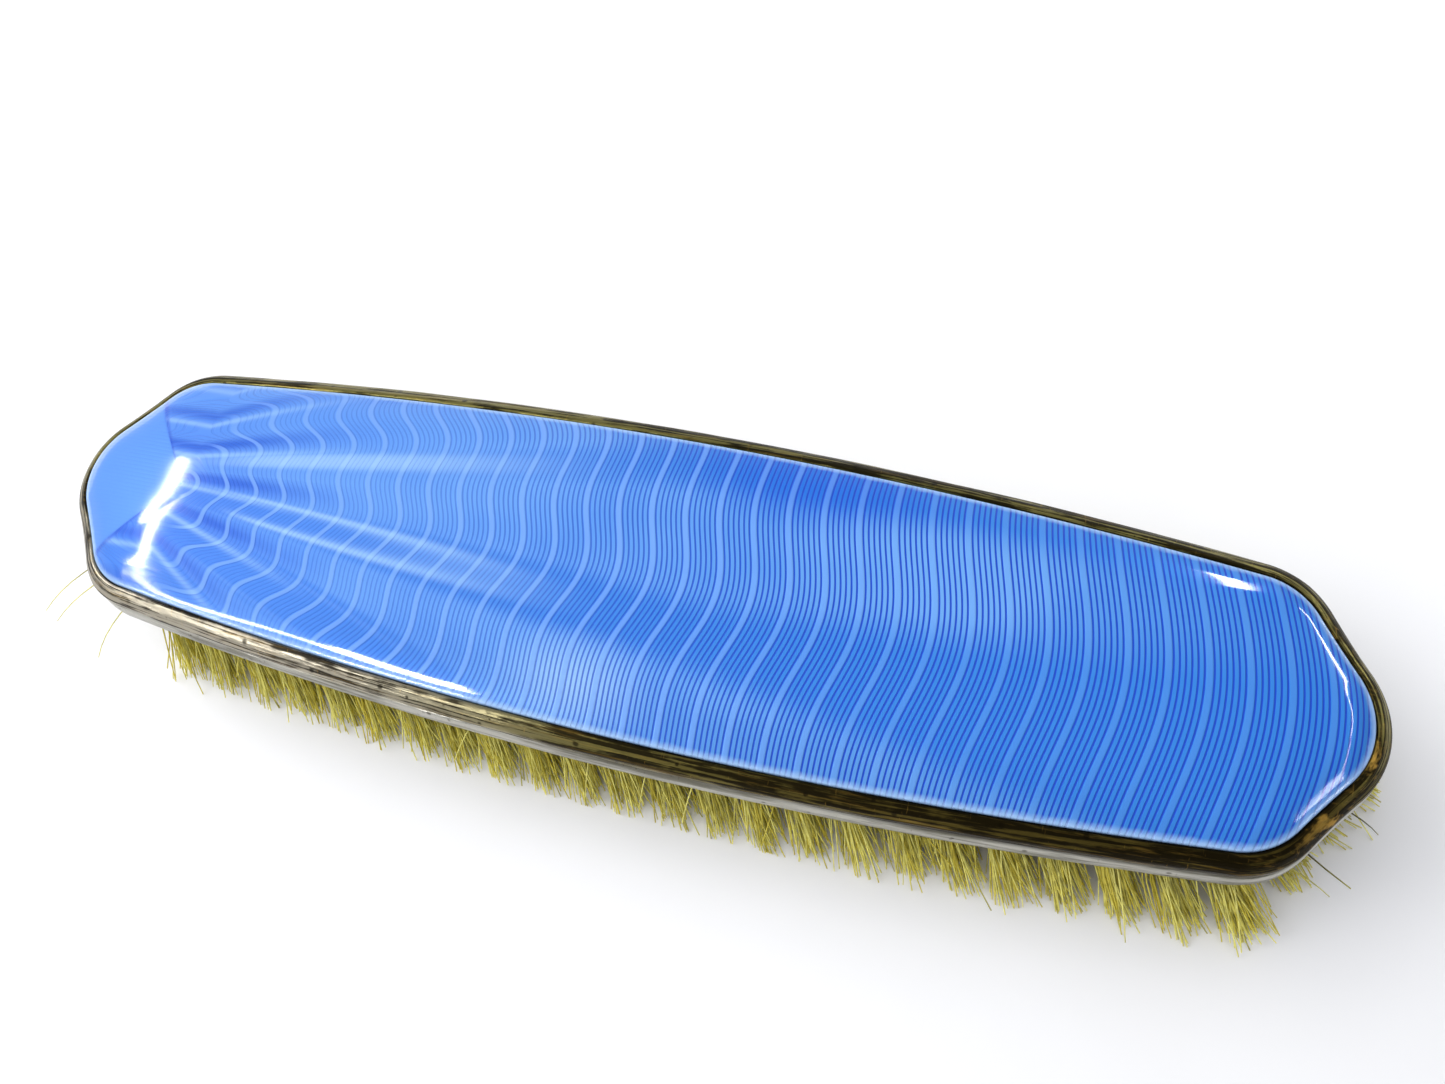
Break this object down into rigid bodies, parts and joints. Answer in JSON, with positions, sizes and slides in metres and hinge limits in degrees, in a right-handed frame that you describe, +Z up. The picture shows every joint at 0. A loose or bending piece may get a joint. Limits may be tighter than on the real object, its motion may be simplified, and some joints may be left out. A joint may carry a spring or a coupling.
{
  "type": "vanity hairbrush",
  "caption": "Handleless eight-sided hairbrush with a domed blue enamelled back in a pressed metal rim, standing on its splayed natural bristles.",
  "frame": {"origin": "centre of the plane that the bristle tips rest on", "axes": "+X along the brush's length, towards one nose; +Y across its width; +Z up through the enamelled back"},
  "size_m": [0.1698, 0.0484, 0.023],
  "materials": {
    "enamel": "glossy vitreous enamel over engine turning",
    "plate": "engine turned silver plate",
    "counter_enamel": "rough fired",
    "cement": "matt set cement",
    "bezel": "tarnished gilt metal",
    "band": "worn silver plate",
    "board": "plain",
    "wood": "varnished",
    "bristle": "natural hog bristle",
    "wire": "drawn"
  },
  "bodies": {
    "root": {"enamel_panel": "enamel", "engine_turned_plate": "plate", "counter_enamel": "counter_enamel", "cement_bed": "cement", "bezel_frame": "bezel", "skirt_band": "band", "backing_board": "board", "bristle_block": "wood", "tufts_row_1": "bristle", "tufts_row_2": "bristle", "tufts_row_3": "bristle", "tufts_row_4": "bristle", "tufts_row_5": "bristle", "tufts_row_6": "bristle", "tufts_row_7": "bristle", "drawing_wire_row_1": "wire", "drawing_wire_row_2": "wire", "drawing_wire_row_3": "wire", "drawing_wire_row_4": "wire", "drawing_wire_row_5": "wire", "drawing_wire_row_6": "wire", "drawing_wire_row_7": "wire"}
  },
  "joints": []
}
